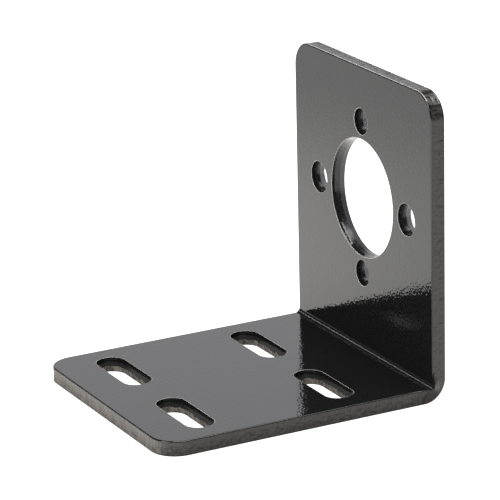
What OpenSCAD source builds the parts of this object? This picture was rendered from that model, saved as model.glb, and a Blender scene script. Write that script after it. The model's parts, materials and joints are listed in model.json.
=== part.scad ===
// Motor mounting bracket: one piece of steel plate, blanked, punched and folded once.
// Everything is in millimetres. X runs across the bracket, Y from the free end of the base
// to the back of the upright, and Z upwards. The origin is the middle of the bracket's
// footprint, on the plane that it stands on.

/* [Plate] */
// Thickness of the plate, with its paint
plate_t = 5; // [4:0.1:6]
// Width of both legs
plate_w = 86.6; // [78:0.2:120]
// Height of the upright, from the underside of the base
upright_h = 100; // [92:1:140]
// Length of the base, from the back of the upright
base_l = 99.6; // [92:0.2:150]
// Radius of the four outer corners
corner_r = 8.8; // [4:0.2:14]
// Radius that blanking and paint leave along every outer rim
rim_r = 0.5; // [0.3:0.1:0.8]

/* [Bend] */
// Radius inside the bend
bend_inner_r = 2.2; // [1.4:0.2:2.6]
// How much thinner the metal is halfway round the bend
bend_thin = 0.15; // [0:0.05:0.5]
// How far the squeezed metal swells out at each end of the bend
swell_out = 2; // [0.5:0.1:2.5]
// How far the swell's flank runs down from its top
swell_run = 4.3; // [4:0.1:4.6]

/* [Motor face] */
// Height of the pilot bore's centre
bore_h = 56.4; // [46:0.2:68]
// Diameter of the pilot bore
bore_d = 39; // [24:0.1:40.4]
// Distance between the two bolt holes beside the bore
side_bolt_gap = 55.9; // [51.5:0.1:64]
// Diameter of the two bolt holes beside the bore
side_bolt_d = 10.1; // [6:0.1:13.5]
// Distance between the bolt holes above and below the bore
tall_bolt_gap = 50.9; // [49.5:0.1:64]
// Diameter of the bolt holes above and below the bore
tall_bolt_d = 8.2; // [5:0.1:9.6]

/* [Base slots] */
// Overall length of each slot, across the base
slot_l = 28.1; // [16:0.1:36]
// Width of each slot
slot_w = 9.4; // [6:0.1:14]
// Distance between the middles of the two slots in a row
slot_gap = 43.7; // [38:0.1:50]
// Distance from the back of the upright to the first row of slots
near_row = 32.1; // [24:0.1:40]
// Distance from the back of the upright to the second row of slots
far_row = 81.2; // [60:0.1:84]

/* [Punched holes] */
// Radius of the rolled-in rim where the punch went in
roll_r = 0.5; // [0.3:0.1:0.8]
// Depth of the smooth cut band, from the face that the punch went in
land_depth = 3; // [1.5:0.1:3.5]
// How much wider the broken-out far side is, all round
breakout = 0.1; // [0.05:0.05:0.5]
// Radius of the rim on the broken-out side
exit_r = 0.25; // [0.1:0.05:0.4]

/* [Hidden] */
$fn = 128;

// The metal is thinner in the bend, so its outside is a rounder arc than the plate alone gives
bend_outer_r = bend_inner_r + plate_t + bend_thin / (sqrt(2) - 1);
// Depth of the inner arc's centre, from the back of the upright and from the underside
bend_centre = plate_t + bend_inner_r;

// The swell goes round an axis between the inner arc and its centre. Its top is where the inner
// arc comes nearest to that axis.
swell_centre = plate_t + 0.55 * bend_inner_r;
swell_top = (1 - 0.45 * sqrt(2)) * bend_inner_r;
// Radius of the swell's hollow flank, and where it meets the side edge
flank_r = (swell_run * swell_run + swell_out * swell_out) / (2 * swell_out);
flank_end = swell_top + swell_run;
// Past the flank, the rims' rounding fades in over this length
rim_fade = 4;
// The flank dips below the side edge by this much, to meet it at a small angle
dip = 0.04;

// How far cutting tools stand clear of the faces
clear = 1;

// Both legs are drawn lying down. The face on z = 0 is the outside of the fold, the one on
// z = plate_t the inside, and the leg runs from the fold's corner at y = 0 towards -Y.

// Turns what is drawn as a lying leg into the upright
module as_upright() {
    mirror([0, 1, 1])
        children();
}

// Keeps what is drawn at +X and adds its twin at -X
module both_sides() {
    children();
    mirror([1, 0, 0])
        children();
}

// Extrudes a side view, drawn in Y and Z, across the bracket
module across(width) {
    rotate([90, 0, 90])
        linear_extrude(width, center = true)
            children();
}

// What is left of a square corner once a quarter round has taken its place
module round_off(r) {
    difference() {
        square(r);
        circle(r);
    }
}

// Section through a blanked edge: a slab from x = 0 to x = run with both its rims rounded
module edge_section(run) {
    difference() {
        square([run, plate_t]);
        translate([run - rim_r, plate_t - rim_r])
            round_off(rim_r);
        translate([run - rim_r, rim_r])
            rotate(-90)
                round_off(rim_r);
    }
}

// A lying leg from y = -root to its free end, with round corners and rounded rims
module leg(leg_l, root) {
    straight_end = leg_l - corner_r;
    corner_x = plate_w / 2 - corner_r;
    // The long straight part
    translate([0, -root, 0])
        rotate([90, 0, 0])
            linear_extrude(straight_end - root) {
                edge_section(plate_w / 2);
                mirror([1, 0])
                    edge_section(plate_w / 2);
            }
    // The free end between the corners
    translate([0, -straight_end, 0])
        rotate([90, 0, -90])
            linear_extrude(2 * corner_x, center = true)
                edge_section(corner_r);
    // The corners
    both_sides()
        translate([corner_x, -straight_end, 0])
            rotate(-90)
                rotate_extrude(angle = 90)
                    edge_section(corner_r);
}

// Side view of the air inside the fold
module fold_air() {
    far = 2 * bend_outer_r;
    difference() {
        translate([-far, plate_t])
            square(far - plate_t);
        translate([-bend_centre, plate_t])
            square(bend_inner_r);
    }
    translate([-bend_centre, bend_centre])
        circle(bend_inner_r);
}

// The bend: a quarter round with rounded rims, less the air inside the fold
module bend() {
    difference() {
        translate([0, -bend_outer_r, bend_outer_r])
            rotate([90, 0, 90])
                rotate(-90)
                    rotate_extrude(angle = 90)
                        rotate(-90)
                            translate([-plate_w / 2, 0])
                                bend_section();
        across(plate_w + 2 * clear)
            fold_air();
    }
}

// Section of the bend's quarter round: across the plate in x, outwards from its centre in y
module bend_section() {
    difference() {
        square([plate_w, bend_outer_r]);
        translate([plate_w - rim_r, bend_outer_r - rim_r])
            round_off(rim_r);
        translate([rim_r, bend_outer_r - rim_r])
            rotate(90)
                round_off(rim_r);
    }
}

// Half section of a punched hole: rolled-in rim, smooth cut band, wider broken-out far side
module punched_section(hole_r) {
    land_z = plate_t - land_depth;
    far_r = hole_r + breakout;
    translate([0, -clear])
        square([hole_r, plate_t + 2 * clear]);
    translate([hole_r + roll_r, plate_t - roll_r])
        rotate(90)
            round_off(roll_r);
    translate([0, plate_t])
        square([hole_r + roll_r, clear]);
    polygon([[0, land_z], [hole_r, land_z], [far_r, exit_r], [far_r, 0], [0, 0]]);
    translate([far_r + exit_r, exit_r])
        rotate(180)
            round_off(exit_r);
    translate([0, -clear])
        square([far_r + exit_r, clear]);
}

// Round hole through a lying leg
module punched_hole(hole_d) {
    rotate_extrude()
        punched_section(hole_d / 2);
}

// Round-ended hole through a lying leg, long way along X
module punched_slot(length, width) {
    run = length - width;
    for (turn = [0, 180])
        rotate(turn)
            translate([run / 2, 0, 0])
                rotate(-90)
                    rotate_extrude(angle = 180)
                        punched_section(width / 2);
    across(run) {
        punched_section(width / 2);
        mirror([1, 0])
            punched_section(width / 2);
    }
}

// The pilot bore and its four bolt holes
module motor_holes() {
    translate([0, -bore_h, 0]) {
        punched_hole(bore_d);
        for (side = [-1, 1]) {
            translate([side * side_bolt_gap / 2, 0, 0])
                punched_hole(side_bolt_d);
            translate([0, side * tall_bolt_gap / 2, 0])
                punched_hole(tall_bolt_d);
        }
    }
}

// The four slots of the base
module base_slots() {
    for (row = [near_row, far_row])
        for (side = [-1, 1])
            translate([side * slot_gap / 2, -row, 0])
                punched_slot(slot_l, slot_w);
}

// Half section of the swell about its axis: a hollow flank above the side edge, then a slope that
// lets the rims' rounding fade in
module swell_section() {
    fade_end = flank_end + rim_fade;
    difference() {
        translate([0, -clear])
            square([flank_end, clear + swell_out]);
        translate([flank_end, flank_r - dip])
            circle(flank_r);
    }
    polygon([[0, -clear], [fade_end, -clear], [fade_end, -rim_r], [flank_end, -dip], [0, -dip]]);
}

// Side view of the plate near the fold, less a skin on its outside where the outer rims round
module swell_profile() {
    skin = rim_r + dip;
    reach = 2 * (flank_end + rim_fade);
    difference() {
        translate([-reach, skin])
            square(reach - skin);
        translate([-reach, plate_t])
            square([reach - bend_centre, reach]);
        translate([-reach, bend_centre])
            square([reach - plate_t, reach]);
        translate([-bend_centre, bend_centre])
            circle(bend_inner_r);
        translate([-bend_outer_r, bend_outer_r])
            rotate(-90)
                difference() {
                    square(bend_outer_r);
                    circle(bend_outer_r - skin);
                }
    }
}

// Metal squeezed out sideways at the ends of the bend
module bend_swell() {
    intersection() {
        both_sides()
            translate([plate_w / 2, -swell_centre, swell_centre])
                rotate([90, 0, 90])
                    rotate_extrude()
                        swell_section();
        across(plate_w + 3 * swell_out)
            swell_profile();
    }
}

module bracket() {
    color([0.07, 0.07, 0.08])
        translate([0, base_l / 2, 0]) {
            difference() {
                leg(base_l, bend_outer_r);
                base_slots();
            }
            as_upright()
                difference() {
                    leg(upright_h, bend_outer_r);
                    motor_holes();
                }
            bend();
            bend_swell();
        }
}

bracket();
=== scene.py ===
"""Motor mounting bracket of folded steel plate, coated gloss black, on a pale studio floor.

The plate is modelled the way it is made: blanked and punched flat, folded once, then coated. Lengths in
the code are in millimetres, and meshes are made in metres. The studio's lengths are in metres.

In a point of the plate the first number runs across it, the second from the back of the upright
towards the free end of the base, and the third upwards from the underside.
"""

import json
import math
from collections import namedtuple

import bmesh
import bpy
import numpy as np
from bpy.props import FloatProperty, FloatVectorProperty, PointerProperty, StringProperty
from mathutils import Matrix, Vector, geometry, noise


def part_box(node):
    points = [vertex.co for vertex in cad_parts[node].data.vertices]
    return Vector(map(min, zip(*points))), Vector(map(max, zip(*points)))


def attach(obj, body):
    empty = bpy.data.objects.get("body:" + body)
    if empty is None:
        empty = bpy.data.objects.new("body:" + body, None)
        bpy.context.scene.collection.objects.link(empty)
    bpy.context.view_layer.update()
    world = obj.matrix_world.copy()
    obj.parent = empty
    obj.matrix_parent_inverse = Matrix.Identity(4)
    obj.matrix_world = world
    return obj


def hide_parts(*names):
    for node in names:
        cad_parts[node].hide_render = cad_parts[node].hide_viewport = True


bl_info = {
    "name": "Motor mounting bracket",
    "version": (1, 0, 0),
    "blender": (4, 5, 0),
    "location": "3D View > Sidebar > Bracket",
    "description": "Builds a folded, punched and coated motor mounting bracket with its studio",
    "category": "Add Mesh",
}

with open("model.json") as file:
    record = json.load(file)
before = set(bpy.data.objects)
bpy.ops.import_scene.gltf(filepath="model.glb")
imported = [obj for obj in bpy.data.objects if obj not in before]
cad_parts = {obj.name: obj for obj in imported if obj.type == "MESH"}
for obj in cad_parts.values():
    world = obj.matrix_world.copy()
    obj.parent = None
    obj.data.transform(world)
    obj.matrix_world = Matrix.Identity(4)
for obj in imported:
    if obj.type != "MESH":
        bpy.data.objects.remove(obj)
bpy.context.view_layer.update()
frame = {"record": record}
MOUNTS = {mount["name"]: mount for mount in frame["record"]["mounts"]}

MM = 0.001
LOW, HIGH = (np.array(corner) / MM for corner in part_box("bracket"))
UPRIGHT_H = HIGH[2] - LOW[2]
BASE_L = HIGH[1] - LOW[1]
BACK_Y = HIGH[1]

# Above this height a cut edge belongs to the upright, and below it to the base
FOLD_TOP = 6.0
# The shear's scores run through the plate, so the grain pattern's scale that way is this share of its
# scale along the edge
SCORE_SHARE = 0.3

# Material slots of the plate's mesh
FACE, EDGE_CUT, EDGE_TORN, EDGE_END_PAINTED_LIGHT, HOLE_CUT, HOLE_TORN, HOLE_GREY, HOLE_LIGHT, PAINTED_RIM_HIGHLIGHT = range(9)

# Rows of quads through the outer edge: in each rounded rim, and in the wall between the rims
RIM_ROWS, WALL_ROWS = 5, 14
# Rows of quads through a hole's wall: in the rolled-in rim, the smooth cut band, the torn part and the
# rim on the far side. In the first rows of the cut band the coat is as full as on the faces.
ROLL_ROWS, BAND_ROWS, TORN_ROWS, EXIT_ROWS = 5, 9, 6, 2
FULL_COAT_ROWS = 4

# The punch's marks in one kind of hole:
# drag: how far the metal is dragged in, as a multiple of the plate's own drag
# reach: how far down the cut band the drag goes, as a share of the band
# ragged: how far the band's lower edge wanders
# scored, rough: depth of the marks in the cut band and in the torn part
# thin_rows: rows of the rolled-in rim that get the painted rim highlight
# torn_finish: finish of the torn part
HoleMarks = namedtuple("HoleMarks", "drag reach ragged scored rough thin_rows torn_finish")
SLOT_MARKS = HoleMarks(1.0, 0.38, 0.5, 0.012, 0.07, 2, HOLE_TORN)
BORE_MARKS = HoleMarks(1.0, 0.38, 0.12, 0.005, 0.02, 4, HOLE_GREY)
BOLT_MARKS = HoleMarks(1.3, 0.72, 0.12, 0.005, 0.02, 4, HOLE_LIGHT)

# Seed of the noise in each leg's first hole, from which the next holes count on, and the distance
# between the layers of the noise that two seeds in a row pick
BASE_SEED, UPRIGHT_SEED, LAYER_GAP = 4, 7, 50


class PlateSizes(bpy.types.PropertyGroup):
    """Sizes of the plate, its fold and its punched holes."""

    thickness: FloatProperty(
        name="Thickness", description="Thickness of the plate with its coat, in mm", default=5.0)
    width: FloatProperty(
        name="Width", description="Width of both legs, in mm", default=86.8)
    corner_r: FloatProperty(
        name="Corner radius", description="Radius of the outer corners, in mm", default=8.8)
    rim_r: FloatProperty(
        name="Rim radius", description="Rounding along every outer rim, in mm", default=0.5)
    crease: FloatProperty(
        name="Crease", default=1.45,
        description="Distance from the fold's inner corner at which the faces start to turn, in mm")
    crease_power: FloatProperty(
        name="Crease power", default=1.6,
        description="Tightness of the crease: 2 is a round arc, less is nearer to a bevel")
    bend_outer_r: FloatProperty(
        name="Outer bend radius", description="Radius outside the bend, in mm", default=7.562)
    swell_out: FloatProperty(
        name="Swell", description="How far the metal stands out at the bend's ends, in mm", default=1.86)
    left_swell: FloatProperty(
        name="Left swell", default=0.05, subtype="FACTOR",
        description="The left end's swell as a share of the right end's")
    swell_run: FloatProperty(
        name="Swell length", default=7.2,
        description="How far the swell runs from the middle of the bend, in mm")
    roll_r: FloatProperty(
        name="Rolled rim", description="Radius of the rim that the punch rolled in, in mm", default=0.18)
    drag: FloatProperty(
        name="Drag", default=0.25,
        description="How much wider the cut band is where the punch dragged the metal in, in mm")
    land: FloatProperty(
        name="Cut band", description="Depth of the smooth cut band in the holes, in mm", default=3.0)
    coat: FloatProperty(
        name="Coat", description="How much the coat narrows the holes all round, in mm", default=0.12)
    breakout: FloatProperty(
        name="Break-out", default=0.22,
        description="How much wider the holes are all round on their far side, in mm")
    exit_r: FloatProperty(
        name="Exit rim", description="Radius of the holes' rim on the far side, in mm", default=0.25)


class CoatFinish(bpy.types.PropertyGroup):
    """Look of the black coat on the rolled faces, over the cut edges and in the holes."""

    colour: StringProperty(
        name="Coat colour", description="The coat, as an sRGB hex value", default="1c1c1d")
    edge_colour: StringProperty(
        name="Edge colour", default="4c4843",
        description="The coat where it thins over a cut edge, as an sRGB hex value")
    # Painted light: the free end is drawn lighter than the other cut edges, for the light that falls on it
    # and that it reflects
    end_painted_light_colour: StringProperty(
        name="Free end's colour", default="83796c",
        description="Painted light: the lighter colour of the base's free end, as an sRGB hex value")
    wall_colour: StringProperty(
        name="Wall colour", default="525254",
        description="The coat on the far part of the bore's wall, as an sRGB hex value")
    bolt_colour: StringProperty(
        name="Bolt holes' colour", default="8c8b8d",
        description="The coat on the far part of the bolt holes' walls, as an sRGB hex value")
    torn_colour: StringProperty(
        name="Torn colour", default="a39a8e",
        description="The coat where it thins over the torn walls of a slot, as an sRGB hex value")
    # Painted highlight: a near-white colour laid along the rims for the thin bright line that they catch
    rim_highlight_colour: StringProperty(
        name="Rim colour", default="d0cecb",
        description="Painted highlight along the rims, as an sRGB hex value")
    roughness: FloatProperty(
        name="Roughness", description="Roughness of the coat's gloss", default=0.05, subtype="FACTOR")
    edge_roughness: FloatProperty(
        name="Edge roughness", description="Roughness over the cut edges", default=0.24, subtype="FACTOR")
    ior: FloatProperty(
        name="IOR", description="Index of refraction of the coat", default=1.65)
    peel: FloatProperty(
        name="Orange peel", description="Spacing of the coat's orange peel, in mm", default=0.85)
    wave: FloatProperty(
        name="Waves", description="Spacing of the slow waves in the coated faces, in mm", default=14.0)


class StudioSettings(bpy.types.PropertyGroup):
    """The camera's place and lens."""

    azimuth: FloatProperty(
        name="Azimuth", default=math.radians(62.445), subtype="ANGLE",
        description="Camera's angle round the bracket")
    elevation: FloatProperty(
        name="Elevation", default=math.radians(17.966), subtype="ANGLE",
        description="Camera's angle above the floor")
    roll: FloatProperty(
        name="Roll", default=math.radians(-1.32), subtype="ANGLE",
        description="Camera's turn about its own axis")
    distance: FloatProperty(
        name="Distance", description="From the camera to its target", default=0.990102, unit="LENGTH")
    lens: FloatProperty(
        name="Lens", description="Focal length on a 36 mm sensor", default=225.2, unit="CAMERA")
    target: FloatVectorProperty(
        name="Target", description="Point that the camera looks at, in m", subtype="XYZ", size=3,
        default=(0.0, 0.003937, 0.045814))


def smooth(low, high, value):
    """Rises smoothly from 0 at low to 1 at high."""
    t = np.clip((value - low) / (high - low), 0.0, 1.0)
    return t * t * (3 - 2 * t)


def grain(spots, octaves=1):
    """Perlin noise at each spot, about -1 to 1, with each finer octave half as strong."""
    flat = spots.reshape(-1, 3)
    values = np.zeros(len(flat))
    for octave in range(octaves):
        values += 0.5 ** octave * np.array([noise.noise(Vector(p * 2 ** octave)) for p in flat])
    return values.reshape(spots.shape[:-1])


def steps(start, end, spacing):
    """Even values from start to end, about spacing apart."""
    return np.linspace(start, end, max(2, round(abs(end - start) / spacing) + 1))


def quarter_round(radius, count):
    """Depth below the face and distance from the wall, along a rounded rim from the face to the wall."""
    turn = np.linspace(0, math.pi / 2, count + 1)
    return radius * (1 - np.cos(turn)), radius * (1 - np.sin(turn))


def inside(rings, spot):
    """Whether a spot is in the area that the rings bound: an outer ring and holes."""
    crossings = 0
    for ring in rings:
        x, y = (ring - spot).T
        x2, y2 = np.roll(x, -1), np.roll(y, -1)
        crossing = (y > 0) != (y2 > 0)
        rise = np.where(crossing, y2 - y, 1.0)
        crossings += np.count_nonzero(crossing & (x - y * (x2 - x) / rise > 0))
    return crossings % 2 == 1


class PlateMesh:
    """Collects the plate's points and faces."""

    def __init__(self):
        self.points = np.zeros((0, 3))
        self.faces = []
        self.finishes = []
        # Numbers of the points in flat faces, with their normals
        self.flats = {}

    def add(self, points):
        """Adds points of shape (..., 3) and returns their numbers in the same shape."""
        points = np.asarray(points, float)
        count = math.prod(points.shape[:-1])
        numbers = np.arange(len(self.points), len(self.points) + count).reshape(points.shape[:-1])
        self.points = np.concatenate([self.points, points.reshape(-1, 3)])
        return numbers

    def grid(self, numbers, finishes):
        """Adds quads between the rows of a grid of point numbers, with one finish for them all, for each
        row or for each quad."""
        corners = [numbers[:-1, :-1], numbers[:-1, 1:], numbers[1:, 1:], numbers[1:, :-1]]
        quads = np.stack(corners, axis=-1)
        finishes = np.asarray(finishes)
        if finishes.ndim:
            finishes = finishes.reshape(len(quads), -1)
        self.faces.extend(quads.reshape(-1, 4).tolist())
        self.finishes.extend(np.broadcast_to(finishes, quads.shape[:2]).ravel().tolist())

    def tube(self, rows, finishes):
        """Adds rows of points that each run round a closed loop, and returns the points' numbers."""
        numbers = self.add(rows)
        self.grid(np.concatenate([numbers, numbers[:, :1]], axis=1), finishes)
        return numbers

    def flat(self, loops, plane, normal, spacing=4.0):
        """Fills a flat face between an outer loop and its holes. plane names the two axes that span it."""
        rings = [self.points[loop][:, plane] for loop in loops]
        own = np.concatenate(loops)
        edges = []
        start = 0
        for loop in loops:
            edges += [(start + i, start + (i + 1) % len(loop)) for i in range(len(loop))]
            start += len(loop)
        spare = self.spread(rings, spacing)
        fresh = np.tile(self.points[own[0]], (len(spare), 1))
        fresh[:, plane] = spare
        numbers = np.concatenate([own, self.add(fresh)])
        spots = [Vector(spot) for spot in np.concatenate(rings + [spare])]
        found = geometry.delaunay_2d_cdt(spots, edges, [], 1, 1e-7)
        for face in found[2]:
            own_corners = [found[3][corner][0] for corner in face]
            middle = np.mean([spots[corner] for corner in own_corners], axis=0)
            if inside(rings, middle):
                self.faces.append([int(numbers[corner]) for corner in own_corners])
                self.finishes.append(FACE)
        self.flats.update(dict.fromkeys(numbers.tolist(), normal))

    @staticmethod
    def spread(rings, spacing):
        """Points on a grid inside the first ring and outside the others, clear of them all."""
        clearance = 0.35 * spacing
        low, high = rings[0].min(0), rings[0].max(0)
        across, along = (np.arange(low[k] + spacing / 2, high[k], spacing) for k in (0, 1))
        spots = np.stack(np.meshgrid(across, along), axis=-1).reshape(-1, 2)
        edge = np.concatenate(rings)
        clear = [np.hypot(*(edge - spot).T).min() > clearance and inside(rings, spot) for spot in spots]
        return spots[clear]

    def build(self, name, materials):
        """Makes the mesh in metres, in the bracket's own frame."""
        across, from_back, up = self.points.T
        place = np.stack([across, BACK_Y - from_back, up], axis=1) * MM
        mesh = bpy.data.meshes.new(name)
        mesh.from_pydata(place.tolist(), [], self.faces)
        for material in materials:
            mesh.materials.append(material)
        mesh.polygons.foreach_set("material_index", np.array(self.finishes, np.int32))
        solid = bmesh.new()
        solid.from_mesh(mesh)
        bmesh.ops.recalc_face_normals(solid, faces=solid.faces)
        open_edges = [edge for edge in solid.edges if len(edge.link_faces) != 2]
        solid.to_mesh(mesh)
        solid.free()
        if open_edges:
            raise RuntimeError(f"the plate's mesh has {len(open_edges)} open edges")
        mesh.shade_smooth()
        normals = np.zeros((len(self.points), 3))
        normals[list(self.flats)] = list(self.flats.values())
        mesh.normals_split_custom_set_from_vertices(normals.tolist())
        return mesh


def as_upright(points):
    """Turns points of a lying leg into the same points of the upright."""
    return points[..., [0, 2, 1]]


def half_outline(sizes, leg_l, spacing=0.45):
    """Half a lying leg's outline, from the middle of its free end to the fold: its line on the inner
    face, its line on the outer face, and the direction out of the edge at each station."""
    straight = leg_l - sizes.corner_r
    corner_x = sizes.width / 2 - sizes.corner_r
    turn = steps(math.pi / 2, 0, spacing / sizes.corner_r)[1:]
    round_turn = np.stack([np.cos(turn), np.sin(turn)], axis=1)
    share = steps(0, 1, spacing / straight)[1:, None]
    x_end = steps(0, corner_x, spacing)
    ends = np.stack([x_end, np.full_like(x_end, leg_l)], axis=1)
    corner = np.array([corner_x, straight]) + sizes.corner_r * round_turn
    lines = []
    for fold_start, height in (sizes.thickness + sizes.crease, sizes.thickness), (sizes.bend_outer_r, 0.0):
        side = np.array([sizes.width / 2, straight]) + share * np.array([0, fold_start - straight])
        line = np.concatenate([ends, corner, side])
        lines.append(np.column_stack([line, np.full(len(line), height)]))
    out = np.concatenate([
        np.tile([0.0, 1.0, 0.0], (len(ends), 1)),
        np.column_stack([round_turn, np.zeros_like(turn)]),
        np.tile([1.0, 0.0, 0.0], (len(side), 1))])
    return np.stack([*lines, out])


def fold_outline(sizes, count=32):
    """The outline's stations round the fold, between the two legs. The inside is tightest in its middle,
    where the punch pressed it in."""
    turn = np.linspace(0, math.pi / 2, count + 1)[1:-1]
    power = 1 / (sizes.crease_power - 1)
    away, up = np.sin(turn) ** power, np.cos(turn) ** power
    size = (away ** sizes.crease_power + up ** sizes.crease_power) ** (1 / sizes.crease_power)
    inner = sizes.thickness + sizes.crease * (1 - np.stack([away, up], axis=1) / size[:, None])
    outer = sizes.bend_outer_r * (1 - np.stack([np.sin(turn), np.cos(turn)], axis=1))
    side = np.full((len(turn), 1), sizes.width / 2)
    out = np.tile([1.0, 0.0, 0.0], (len(turn), 1))
    return np.stack([
        np.concatenate([side, inner], axis=1), np.concatenate([side, outer], axis=1), out])


def swell(sizes, spots, share):
    """How far the metal stands out of the side edge near the fold: highest at the middle of the inner
    arc, with a hollow flank that dies away through the plate. share runs from 0 on the inner face to 1
    on the outer."""
    # The swell's top is blunt over about this length, and this power makes its flank hollow
    blunt, hollow = 0.5, 2.3
    middle = sizes.thickness + sizes.crease * (1 - 0.5 ** (1 / sizes.crease_power))
    from_middle = np.hypot(spots[..., 1] - middle, spots[..., 2] - middle)
    run = np.hypot(from_middle, blunt) - blunt
    flank = np.clip(1 - run / sizes.swell_run, 0, 1) ** hollow
    return sizes.swell_out * flank * (1 - share ** 2)


def round_the_loop(reach, length):
    """Places on a circle of the given length for stations at the given distances along it, so that a
    pattern drawn there meets itself where the loop closes."""
    around = reach / length * 2 * math.pi
    return np.stack([np.cos(around), np.sin(around)], axis=1) * length / (2 * math.pi)


def add_edges(plate, sizes):
    """Adds the edge that runs right round the folded plate. Returns its point numbers, one row for each
    depth from the inner face to the outer, and the number of stations in half of it."""
    base = half_outline(sizes, BASE_L)
    upright = as_upright(half_outline(sizes, UPRIGHT_H))[:, ::-1]
    half = np.concatenate([base, fold_outline(sizes), upright], axis=1)
    left = half[:, -2:0:-1] * [-1, 1, 1]
    inner, outer, out = np.concatenate([half, left], axis=1)
    thick = np.linalg.norm(outer - inner, axis=1)
    through = (outer - inner) / thick[:, None]
    strides = np.linalg.norm(np.diff((inner + outer) / 2, axis=0), axis=1)
    along = np.concatenate([[0], np.cumsum(strides)])
    circle = round_the_loop(along, along[-1])

    rim_depth, rim_inset = quarter_round(sizes.rim_r, RIM_ROWS)
    wall = np.linspace(0, 1, WALL_ROWS + 1)[1:-1, None]
    depth = np.concatenate([
        np.broadcast_to(rim_depth[:, None], (len(rim_depth), len(thick))),
        sizes.rim_r + wall * (thick - 2 * sizes.rim_r),
        thick - rim_depth[::-1, None]])
    inset = np.concatenate([rim_inset, np.zeros(len(wall)), rim_inset[::-1]])[:, None]
    flush = inner + through * depth[..., None]
    proud = swell(sizes, flush, depth / thick) * np.where(inner[:, 0] < 0, sizes.left_swell, 1)
    # At the swell's top the rims have lost this share of their rounding
    lost_rounding = 0.6
    rounding = 1 - lost_rounding * proud / sizes.swell_out
    stand = proud - inset * rounding - sheared_relief(circle, depth, thick)
    numbers = plate.tube(flush + out * stand[..., None], edge_finishes(out))
    return numbers, half.shape[1]


def edge_finishes(out):
    """Finish of each quad in the outer edge: coat on the rims, cut band, torn band. Along the top of the
    upright a painted highlight runs where the rims meet the wall. The base's free end is given a lighter
    colour all over, painted light for the light that falls on it."""
    # Cosines of the angle up to which a station counts as facing up, or out of the free end
    facing_up, facing_out = 0.75, 0.85
    on_top, on_end = out[:, 2] > facing_up, out[:, 1] > facing_out
    rows = 2 * RIM_ROWS + WALL_ROWS
    finishes = np.full((rows, len(out)), EDGE_CUT)
    finishes[rows // 2:] = EDGE_TORN
    # The free end's quads get the material with painted light
    finishes[:, on_end] = EDGE_END_PAINTED_LIGHT
    finishes[:RIM_ROWS] = FACE
    finishes[-RIM_ROWS:] = FACE
    # These rows get the painted highlight along the top of the upright, where the rims meet the wall
    for row in RIM_ROWS - 2, RIM_ROWS - 1, -RIM_ROWS, 1 - RIM_ROWS:
        finishes[row, on_top] = PAINTED_RIM_HIGHLIGHT
    return finishes


def sheared_relief(circle, depth, thick):
    """Depth of the marks that the blanking shear leaves along the outer edge: fine scores through the
    thickness in the upper part and torn grains below it."""
    score_depth, tear_depth = 0.09, 0.13
    # Scales of the noise, the last of each through the plate, where the scores are drawn long
    score_scale, tear_scale, wander_scale = [1.1, 1.1, 0.25], [0.75, 0.75, 0.7], [0.3, 0.3, 0.0]
    # The torn part begins between these depths, and where it begins wanders by this much
    torn_start, torn_full, wander = 1.6, 2.4, 0.5
    # The marks fade in between these distances from the faces
    rim_start, rim_end = 0.1, 0.9
    spots = np.concatenate([np.broadcast_to(circle, (*depth.shape, 2)), depth[..., None]], axis=-1)
    scores = grain(spots * score_scale)
    tears = grain(spots * tear_scale, 2)
    torn = smooth(torn_start, torn_full, depth + wander * grain(spots * wander_scale))
    clear_of_rims = smooth(rim_start, rim_end, depth) * smooth(rim_start, rim_end, thick - depth)
    marks = (1 - torn) * score_depth * (1 + scores) + torn * tear_depth * np.clip(1 + tears, 0, 2)
    return clear_of_rims * marks


def hole_ring(run, radius, spacing=0.4):
    """Stations round a hole: points on its middle line and the direction to the wall, in the plate's
    plane. run is the straight length of a slot, and 0 makes a round hole."""
    arc = steps(-math.pi / 2, math.pi / 2, spacing / radius)
    side = np.stack([np.cos(arc), np.sin(arc)], axis=1)
    middle = np.tile([run / 2, 0.0], (len(arc), 1))
    if run:
        straight = steps(run / 2, -run / 2, spacing)[1:-1]
        middle = np.concatenate([middle, np.stack([straight, np.zeros_like(straight)], axis=1)])
        side = np.concatenate([side, np.tile([0.0, 1.0], (len(straight), 1))])
    else:
        middle, side = middle[:-1], side[:-1]
    return np.concatenate([middle, -middle]), np.concatenate([side, -side])


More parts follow.
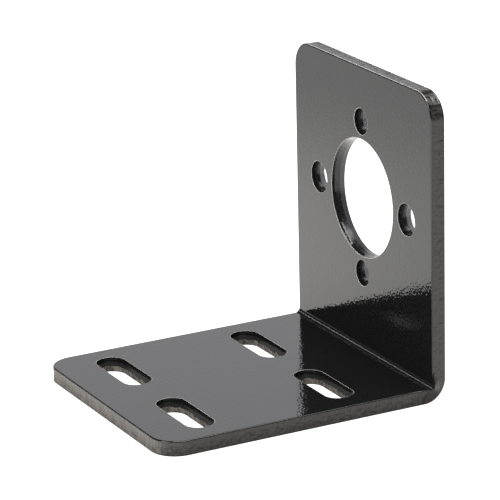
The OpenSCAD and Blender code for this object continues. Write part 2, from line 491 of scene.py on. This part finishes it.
def hole_wall(sizes, place, run, radius, marks, seed):
    """The wall of a hole punched through a lying leg from its inner face: rows of points from the inner
    face to the outer, and the finish between them."""
    # Scales of the noise. The scores are drawn long through the plate.
    wander_scale, score_scale, tear_scale = 0.5, [1.1, 1.1, 0.2], 0.9
    drag = marks.drag * sizes.drag
    radius -= sizes.coat
    middle, side = hole_ring(run, radius)
    line = middle + side * radius
    reach = np.cumsum(np.hypot(*np.diff(line, axis=0, append=line[:1]).T))
    circle = round_the_loop(reach, reach[-1])

    roll_depth, roll_inset = quarter_round(sizes.roll_r, ROLL_ROWS)
    exit_depth, exit_inset = quarter_round(sizes.exit_r, EXIT_ROWS)
    wander = grain(np.column_stack([circle * wander_scale, np.full(len(circle), seed)]), 2)
    band_end = sizes.land + marks.ragged * wander
    band_share = np.linspace(0, 1, BAND_ROWS + 1)[1:, None]
    torn_share = np.linspace(0, 1, TORN_ROWS + 1)[1:, None]
    far = sizes.thickness - sizes.exit_r
    depth = np.concatenate([
        np.broadcast_to(roll_depth[:, None], (len(roll_depth), len(circle))),
        sizes.roll_r + band_share * (band_end - sizes.roll_r),
        band_end + torn_share * (far - band_end),
        np.broadcast_to(sizes.thickness - exit_depth[-2::-1, None], (EXIT_ROWS, len(circle)))])
    widen = np.concatenate([
        drag + roll_inset,
        drag * np.clip(1 - band_share[:, 0] / marks.reach, 0, 1),
        sizes.breakout * torn_share[:, 0],
        sizes.breakout + exit_inset[-2::-1]])[:, None]
    # The seed picks the layer of the noise that the marks come from
    layer = depth[..., None] + LAYER_GAP * seed
    spots = np.concatenate([np.broadcast_to(circle, (*depth.shape, 2)), layer], axis=-1)
    # The torn marks take over round the band's end, and all marks fade out towards both faces
    torn = smooth(-0.1, 0.5, depth - band_end)
    clear = smooth(0.2, 1.0, depth) * smooth(0.0, 0.5, sizes.thickness - depth)
    scores, tears = grain(spots * score_scale), grain(spots * tear_scale, 2)
    relief = clear * ((1 - torn) * marks.scored * scores + torn * marks.rough * tears)
    flush = np.array(place) + middle + side * (radius + widen - relief)[..., None]
    rows = np.concatenate([flush, sizes.thickness - depth[..., None]], axis=-1)
    # The first rows of the rolled-in rim get the painted rim highlight
    finishes = [PAINTED_RIM_HIGHLIGHT] * marks.thin_rows + [FACE] * (ROLL_ROWS + FULL_COAT_ROWS - marks.thin_rows)
    finishes += [HOLE_CUT] * (BAND_ROWS - FULL_COAT_ROWS)
    finishes += [marks.torn_finish] * TORN_ROWS + [FACE] * EXIT_ROWS
    return rows, finishes


def bolt_places(mount, centre):
    """Middles of a mount's holes in the plane of its leg, from the place of their centre."""
    dims = mount["dims"]
    reach = [dims.get("spacing_x_mm", 0) / 2, dims.get("spacing_y_mm", 0) / 2]
    spots = {(sx * reach[0], sy * reach[1]) for sx in (-1, 1) for sy in (-1, 1)}
    return [(centre[0] + x, centre[1] + y) for x, y in sorted(spots)]


def punched_holes():
    """Each leg's holes, as (place in the leg's plane, straight run, radius, the punch's marks)."""
    bore = MOUNTS["pilot_bore"]
    centre = (0.0, bore["pos_m"][2] / MM)
    upright = [(centre, 0.0, bore["dims"]["r_mm"], BORE_MARKS)]
    for name in "side_bolts", "tall_bolts":
        bolts = MOUNTS[name]
        radius = bolts["dims"]["hole_r_mm"]
        upright += [(place, 0.0, radius, BOLT_MARKS) for place in bolt_places(bolts, centre)]
    slots = MOUNTS["foot_slots"]
    radius = slots["dims"]["hole_r_mm"]
    run = slots["dims"]["slot_length_mm"] - 2 * radius
    centre = (0.0, BACK_Y - slots["pos_m"][1] / MM)
    base = [(place, run, radius, SLOT_MARKS) for place in bolt_places(slots, centre)]
    return base, upright


def add_bend(plate, edge, half, sizes, row, reach=8.0, columns=72):
    """Adds one side of the fold, from edge to edge, with a strip of the flat faces beside it. Returns the
    point numbers of its first and last line, from the left edge to the right, and those two stations."""
    count = edge.shape[1]
    line = plate.points[edge[row, :half]]
    near_fold = (line[:, 1:] < reach + sizes.bend_outer_r).all(axis=1)
    near = np.flatnonzero(near_fold)
    right, left = edge[row, near], edge[row, (count - near) % count]
    # The columns are closer together near the edges
    share = (0.5 - 0.5 * np.cos(np.linspace(0, math.pi, columns + 1)))[1:-1, None, None]
    share = 0.5 * share + 0.5 * np.linspace(0, 1, columns + 1)[1:-1, None, None]
    between = plate.points[left] + share * (plate.points[right] - plate.points[left])
    numbers = np.concatenate([left[:, None], plate.add(between).T, right[:, None]], axis=1)
    plate.grid(numbers, FACE)
    return numbers[0], numbers[-1], near[0], near[-1]


def folded_plate(sizes):
    """The whole plate's surface."""
    plate = PlateMesh()
    edge, half = add_edges(plate, sizes)
    count = edge.shape[1]
    base_holes, upright_holes = punched_holes()
    base_rings, upright_rings = [], []
    for seed, hole in enumerate(base_holes, start=BASE_SEED):
        rows, finishes = hole_wall(sizes, *hole, seed)
        base_rings.append(plate.tube(rows, finishes))
    for seed, hole in enumerate(upright_holes, start=UPRIGHT_SEED):
        rows, finishes = hole_wall(sizes, *hole, seed)
        upright_rings.append(plate.tube(as_upright(rows), finishes))
    # The first row of every ring is on the inner faces, and the last on the outer
    for row, side in (0, 1), (-1, -1):
        first, last, start, end = add_bend(plate, edge, half, sizes, row)
        base_loop = np.concatenate([edge[row, count - start:], edge[row, :start], first[:0:-1]])
        upright_loop = np.concatenate([edge[row, end + 1:count - end], last])
        plate.flat([base_loop] + [ring[row] for ring in base_rings], [0, 1], (0, 0, side))
        plate.flat([upright_loop] + [ring[row] for ring in upright_rings], [0, 2], (0, -side, 0))
    return plate


def linear(hex_colour):
    """A scene-linear colour from an sRGB hex value."""
    parts = [int(hex_colour[i:i + 2], 16) / 255 for i in (0, 2, 4)]
    return tuple(p / 12.92 if p <= 0.04045 else ((p + 0.055) / 1.055) ** 2.4 for p in parts)


def add_node(owner, kind, settings=None, **inputs):
    """Adds a node to a material or the world, with its settings and its inputs. An input is a value, or
    another node's output. It goes by its label, or by _ and its number where the labels repeat."""
    tree = owner.node_tree
    node = tree.nodes.new(kind)
    for name, value in (settings or {}).items():
        setattr(node, name, value)
    for name, value in inputs.items():
        socket = node.inputs[int(name[1:])] if name[0] == "_" else node.inputs[name.replace("_", " ")]
        if isinstance(value, bpy.types.NodeSocket):
            tree.links.new(value, socket)
        else:
            socket.default_value = value
    return node


def empty_material(name):
    """A material with no nodes."""
    material = bpy.data.materials.new(name)
    material.use_nodes = True
    material.node_tree.nodes.clear()
    return material


def gloss_coat(finish):
    """Black gloss powder coat, baked over hot-rolled plate. It gives a deep black with sharp reflections
    that the orange peel and the plate's own slow waves bend a little."""
    wave_height, peel_height = 0.02 * MM, 0.04 * MM
    material = empty_material("gloss_powder_coat")
    place = add_node(material, "ShaderNodeTexCoord").outputs["Object"]
    peel = add_node(
        material, "ShaderNodeTexNoise", Vector=place, Scale=1 / (finish.peel * MM), Detail=1.0,
        Roughness=0.4)
    waves = add_node(
        material, "ShaderNodeTexNoise", Vector=place, Scale=1 / (finish.wave * MM), Detail=1.0,
        Roughness=0.4)
    slow = add_node(
        material, "ShaderNodeBump", Height=waves.outputs["Fac"], Strength=1.0, Distance=wave_height)
    fine = add_node(
        material, "ShaderNodeBump", Height=peel.outputs["Fac"], Strength=1.0, Distance=peel_height,
        Normal=slow.outputs["Normal"])
    shader = add_node(
        material, "ShaderNodeBsdfPrincipled", Base_Color=(*linear(finish.colour), 1),
        Roughness=finish.roughness, IOR=finish.ior, Normal=fine.outputs["Normal"])
    add_node(material, "ShaderNodeOutputMaterial", Surface=shader.outputs["BSDF"])
    return material


def cut_edge_coat(finish, name, thin_colour, grain_mm, height_mm):
    """The same coat over a sheared edge, where it runs thin on the scores and torn grains under it. It
    gives a duller, mottled grey with a brown cast. Real scores are closer together than the render can
    show, so they are drawn 0.5 to 1.2 mm apart."""
    material = empty_material(name)
    place = add_node(material, "ShaderNodeTexCoord").outputs["Object"]
    height = add_node(material, "ShaderNodeSeparateXYZ", Vector=place)
    in_upright = add_node(
        material, "ShaderNodeMath", {"operation": "GREATER_THAN"}, _0=height.outputs["Z"],
        _1=FOLD_TOP * MM)
    through = add_node(
        material, "ShaderNodeMix", {"data_type": "VECTOR"}, Factor=in_upright.outputs["Value"],
        _4=(1.0, 1.0, SCORE_SHARE), _5=(1.0, SCORE_SHARE, 1.0))
    stretched = add_node(
        material, "ShaderNodeVectorMath", {"operation": "MULTIPLY"}, _0=place, _1=through.outputs[1])
    grains = add_node(
        material, "ShaderNodeTexNoise", Vector=stretched.outputs["Vector"],
        Scale=1 / (grain_mm * MM), Detail=3.0, Roughness=0.6)
    # The noise stays mostly in the middle third of its range, so that part is stretched over the whole
    patches = add_node(
        material, "ShaderNodeMapRange", Value=grains.outputs["Fac"], From_Min=0.32, From_Max=0.68)
    dullness = add_node(
        material, "ShaderNodeMapRange", Value=grains.outputs["Fac"], From_Min=0.35, From_Max=0.65,
        To_Min=0.6 * finish.edge_roughness, To_Max=1.8 * finish.edge_roughness)
    tint = add_node(
        material, "ShaderNodeMix", {"data_type": "RGBA"}, Factor=patches.outputs["Result"],
        _6=(*linear(finish.colour), 1), _7=(*linear(thin_colour), 1))
    bump = add_node(
        material, "ShaderNodeBump", Height=grains.outputs["Fac"], Strength=1.0, Distance=height_mm * MM)
    shader = add_node(
        material, "ShaderNodeBsdfPrincipled", Base_Color=tint.outputs[2],
        Roughness=dullness.outputs["Result"], IOR=finish.ior, Normal=bump.outputs["Normal"])
    add_node(material, "ShaderNodeOutputMaterial", Surface=shader.outputs["BSDF"])
    return material


def wall_coat_and_rim_highlight(finish, name, colour):
    """A colour with the edge roughness, used in two ways. Along the rims it is a painted highlight, the
    thin light line round the holes and along the top of the upright. On the far wall of a round hole it is
    the coat where it runs thin and even, and gives the grey in the holes."""
    material = empty_material(name)
    shader = add_node(
        material, "ShaderNodeBsdfPrincipled", Base_Color=(*linear(colour), 1),
        Roughness=finish.edge_roughness, IOR=finish.ior)
    add_node(material, "ShaderNodeOutputMaterial", Surface=shader.outputs["BSDF"])
    return material


class BRACKET_OT_plate(bpy.types.Operator):
    """Build the folded and coated plate"""

    bl_idname = "bracket.plate"
    bl_label = "Folded plate"
    bl_options = {"REGISTER", "UNDO"}

    def execute(self, context):
        finish = context.scene.bracket_finish
        # In the order of the material slots
        materials = [
            gloss_coat(finish),
            cut_edge_coat(
                finish, "powder_coat_over_sheared_edge", finish.edge_colour, grain_mm=1.0, height_mm=0.1),
            cut_edge_coat(
                finish, "powder_coat_over_torn_edge", finish.edge_colour, grain_mm=1.1, height_mm=0.2),
            # The sheared grains here are real, and their lighter end colour is painted light
            cut_edge_coat(
                finish, "powder_coat_over_end_with_painted_light", finish.end_painted_light_colour, grain_mm=1.0, height_mm=0.25),
            cut_edge_coat(
                finish, "powder_coat_over_punched_wall", finish.colour, grain_mm=0.5, height_mm=0.01),
            cut_edge_coat(
                finish, "powder_coat_over_torn_wall", finish.torn_colour, grain_mm=1.2, height_mm=0.06),
            wall_coat_and_rim_highlight(finish, "powder_coat_on_bore_wall", finish.wall_colour),
            wall_coat_and_rim_highlight(finish, "powder_coat_on_bolt_hole_wall", finish.bolt_colour),
            # Painted highlight along the rims, drawn as a near-white colour
            wall_coat_and_rim_highlight(finish, "painted_highlight_on_rim", finish.rim_highlight_colour),
        ]
        mesh = folded_plate(context.scene.bracket_sizes).build("folded_plate", materials)
        plate = bpy.data.objects.new("folded_plate", mesh)
        context.scene.collection.objects.link(plate)
        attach(plate, "root")
        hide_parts("bracket")
        return {"FINISHED"}


class BRACKET_OT_studio(bpy.types.Operator):
    """Set up the floor, the light and the camera"""

    bl_idname = "bracket.studio"
    bl_label = "Studio"
    bl_options = {"REGISTER", "UNDO"}

    def execute(self, context):
        scene = context.scene
        scene.view_settings.view_transform = "Standard"
        add_floor(scene)
        light_world(scene)
        add_softboxes(scene)
        add_camera(scene, scene.bracket_studio)
        return {"FINISHED"}


def add_floor(scene, reach=8.0):
    """A pale floor that shows white and keeps the bracket's shadow. In the coat's reflections it has a
    painted pool of light behind the bracket on its left and a painted white patch before the free end, is
    greyer elsewhere, and has a painted shadow close round the bracket's footprint. Lengths are in metres."""
    pool_middle, pool_r, pool_end, grey = (-0.19, 0.12, 0.0), 0.1, 0.27, 0.32
    # The painted white patch fades in between these places across the floor and towards the front
    left_fade, front_fade = (-0.1, -0.06), (-0.035, -0.05)
    warm_white = (1.0, 0.975, 0.94, 1)
    # Width and strength of the painted shadow that reflections show round the footprint
    dark_width, darkest = 0.006, 0.7
    just_below = -0.05 * MM

    mesh = bpy.data.meshes.new("studio_floor")
    corners = [(-reach, -reach), (reach, -reach), (reach, reach), (-reach, reach)]
    mesh.from_pydata([(x, y, just_below) for x, y in corners], [], [(0, 1, 2, 3)])
    material = empty_material("pale_floor")
    path = add_node(material, "ShaderNodeLightPath")
    place = add_node(material, "ShaderNodeTexCoord").outputs["Object"]
    mirrored = add_node(
        material, "ShaderNodeMath", {"operation": "MAXIMUM"}, _0=path.outputs["Is Glossy Ray"],
        _1=path.outputs["Is Transmission Ray"])

    # The painted pool of light and white patch, which only glossy and transmission rays see
    from_pool = add_node(
        material, "ShaderNodeVectorMath", {"operation": "DISTANCE"}, _0=place, _1=pool_middle)
    pool = add_node(
        material, "ShaderNodeMapRange", {"interpolation_type": "SMOOTHSTEP"},
        Value=from_pool.outputs["Value"], From_Min=pool_r, From_Max=pool_end, To_Min=1.0, To_Max=grey)
    apart = add_node(material, "ShaderNodeSeparateXYZ", Vector=place)
    beside = add_node(
        material, "ShaderNodeMapRange", Value=apart.outputs["X"], From_Min=left_fade[0],
        From_Max=left_fade[1])
    before = add_node(
        material, "ShaderNodeMapRange", Value=apart.outputs["Y"], From_Min=front_fade[0],
        From_Max=front_fade[1], To_Max=beside.outputs["Result"])
    painted_light_part = add_node(
        material, "ShaderNodeMath", {"operation": "MAXIMUM"}, _0=pool.outputs["Result"],
        _1=before.outputs["Result"])
    glow = add_node(
        material, "ShaderNodeMath", {"operation": "MULTIPLY_ADD"}, _0=mirrored.outputs["Value"],
        _1=painted_light_part.outputs["Value"], _2=path.outputs["Is Camera Ray"])
    lit = add_node(material, "ShaderNodeBsdfDiffuse", Color=(0.8, 0.8, 0.8, 1))
    tone = add_node(
        material, "ShaderNodeMix", {"data_type": "RGBA"}, Factor=mirrored.outputs["Value"],
        _6=(1, 1, 1, 1), _7=warm_white)
    white = add_node(
        material, "ShaderNodeEmission", Color=tone.outputs[2], Strength=glow.outputs["Value"])
    both = add_node(material, "ShaderNodeAddShader", _0=lit.outputs["BSDF"], _1=white.outputs["Emission"])

    # Painted shadow: in reflections the floor is mixed towards black close round the footprint
    across = add_node(material, "ShaderNodeVectorMath", {"operation": "ABSOLUTE"}, _0=place)
    beyond = add_node(
        material, "ShaderNodeVectorMath", {"operation": "SUBTRACT"}, _0=across.outputs["Vector"],
        _1=(HIGH[0] * MM, BASE_L / 2 * MM, 0.0))
    beyond = add_node(
        material, "ShaderNodeVectorMath", {"operation": "MAXIMUM"}, _0=beyond.outputs["Vector"],
        _1=(0, 0, 0))
    from_footprint = add_node(
        material, "ShaderNodeVectorMath", {"operation": "LENGTH"}, _0=beyond.outputs["Vector"])
    painted_shadow = add_node(
        material, "ShaderNodeMapRange", Value=from_footprint.outputs["Value"], From_Min=0.0,
        From_Max=dark_width, To_Min=darkest, To_Max=0.0)
    dark_part = add_node(
        material, "ShaderNodeMath", {"operation": "MULTIPLY"}, _0=mirrored.outputs["Value"],
        _1=painted_shadow.outputs["Result"])
    black = add_node(material, "ShaderNodeEmission", Color=(0, 0, 0, 1), Strength=0.0)
    floor_shader = add_node(
        material, "ShaderNodeMixShader", Fac=dark_part.outputs["Value"], _1=both.outputs["Shader"],
        _2=black.outputs["Emission"])
    add_node(material, "ShaderNodeOutputMaterial", Surface=floor_shader.outputs["Shader"])
    mesh.materials.append(material)
    floor = bpy.data.objects.new("studio_floor", mesh)
    scene.collection.objects.link(floor)


def light_world(scene):
    """White studio all round for the camera. For reflections and light it has a bright wall at the back
    left, which ends above the bracket, in a dark room."""
    wall_side, wall_level, room_level = (-0.6, 0.8, 0.0), 0.89, 0.05
    # The wall fades in between these cosines of the angle from its middle, and ends between these
    # sines of the angle above the floor
    wall_edge, wall_top = (0.45, 0.72), (0.4, 0.5)
    cool_white = (0.975, 0.975, 1, 1)
    world = bpy.data.worlds.new("studio_world")
    scene.world = world
    world.use_nodes = True
    world.node_tree.nodes.clear()
    direction = add_node(world, "ShaderNodeTexCoord").outputs["Generated"]
    facing = add_node(
        world, "ShaderNodeVectorMath", {"operation": "DOT_PRODUCT"}, _0=direction, _1=wall_side)
    wall = add_node(
        world, "ShaderNodeMapRange", {"interpolation_type": "SMOOTHSTEP"},
        Value=facing.outputs["Value"], From_Min=wall_edge[0], From_Max=wall_edge[1],
        To_Min=room_level, To_Max=wall_level)
    height = add_node(world, "ShaderNodeSeparateXYZ", Vector=direction)
    low = add_node(
        world, "ShaderNodeMapRange", {"interpolation_type": "SMOOTHSTEP"}, Value=height.outputs["Z"],
        From_Min=wall_top[0], From_Max=wall_top[1], To_Min=1.0, To_Max=0.0)
    room = add_node(
        world, "ShaderNodeMath", {"operation": "MULTIPLY_ADD"}, _0=wall.outputs["Result"],
        _1=low.outputs["Result"], _2=room_level)
    path = add_node(world, "ShaderNodeLightPath")
    level = add_node(
        world, "ShaderNodeMix", {"data_type": "FLOAT"}, Factor=path.outputs["Is Camera Ray"],
        _2=room.outputs["Value"], _3=1.0)
    tone = add_node(
        world, "ShaderNodeMix", {"data_type": "RGBA"}, Factor=path.outputs["Is Camera Ray"],
        _6=cool_white, _7=(1, 1, 1, 1))
    sky = add_node(
        world, "ShaderNodeBackground", Color=tone.outputs[2], Strength=level.outputs["Result"])
    add_node(world, "ShaderNodeOutputWorld", Surface=sky.outputs["Background"])


def add_softboxes(scene):
    """Soft area lamps that hang round the bracket and face it. Places and sizes are in metres."""
    aim = Vector((0, 0, 0.04))
    for name, place, size, radiance in (
            ("softbox_strip", (-1.68, -0.59, 0.905), (0.05, 0.6), 6.5),
            ("softbox_front", (0.4, -1.5, 1.1), (1.0, 1.0), 5.0),
            ("softbox_top", (0.2, 0.3, 1.8), (1.4, 1.4), 4.2)):
        lamp = bpy.data.lights.new(name, "AREA")
        lamp.shape = "RECTANGLE"
        lamp.size, lamp.size_y = size
        lamp.energy = radiance * math.pi * lamp.size * lamp.size_y
        box = bpy.data.objects.new(name, lamp)
        box.location = place
        box.rotation_euler = (aim - Vector(place)).to_track_quat("-Z", "Y").to_euler()
        scene.collection.objects.link(box)


def add_camera(scene, studio):
    """The camera at the photograph's angle."""
    azimuth, elevation, roll = studio.azimuth, studio.elevation, studio.roll
    level = math.cos(elevation)
    back = Vector((math.sin(azimuth) * level, -math.cos(azimuth) * level, math.sin(elevation)))
    right = Vector((math.cos(azimuth), math.sin(azimuth), 0.0))
    up = back.cross(right)
    turned_right = right * math.cos(roll) + up * math.sin(roll)
    turned_up = up * math.cos(roll) - right * math.sin(roll)
    data = bpy.data.cameras.new("camera")
    data.lens = studio.lens
    data.sensor_width = 36.0
    camera = bpy.data.objects.new("camera", data)
    axes = Matrix((turned_right, turned_up, back)).transposed().to_4x4()
    camera.matrix_world = Matrix.Translation(Vector(studio.target) + back * studio.distance) @ axes
    scene.collection.objects.link(camera)
    scene.camera = camera


class BRACKET_PT_panel(bpy.types.Panel):
    """Lists the bracket's sizes, finish and studio"""

    bl_idname = "BRACKET_PT_panel"
    bl_label = "Motor mounting bracket"
    bl_space_type = "VIEW_3D"
    bl_region_type = "UI"
    bl_category = "Bracket"

    def draw(self, context):
        scene = context.scene
        for operator, group in (
                ("bracket.plate", scene.bracket_sizes),
                (None, scene.bracket_finish),
                ("bracket.studio", scene.bracket_studio)):
            box = self.layout.box()
            for name in group.__annotations__:
                box.prop(group, name)
            if operator:
                box.operator(operator)


CLASSES = (PlateSizes, CoatFinish, StudioSettings, BRACKET_OT_plate, BRACKET_OT_studio, BRACKET_PT_panel)
GROUPS = {"bracket_sizes": PlateSizes, "bracket_finish": CoatFinish, "bracket_studio": StudioSettings}


def register():
    for cls in CLASSES:
        bpy.utils.register_class(cls)
    for name, group in GROUPS.items():
        setattr(bpy.types.Scene, name, PointerProperty(type=group))


def unregister():
    for name in GROUPS:
        delattr(bpy.types.Scene, name)
    for cls in reversed(CLASSES):
        bpy.utils.unregister_class(cls)


def main():
    """Builds the bracket and its studio."""
    register()
    bpy.ops.bracket.plate()
    bpy.ops.bracket.studio()


if __name__ == "__main__":
    main()
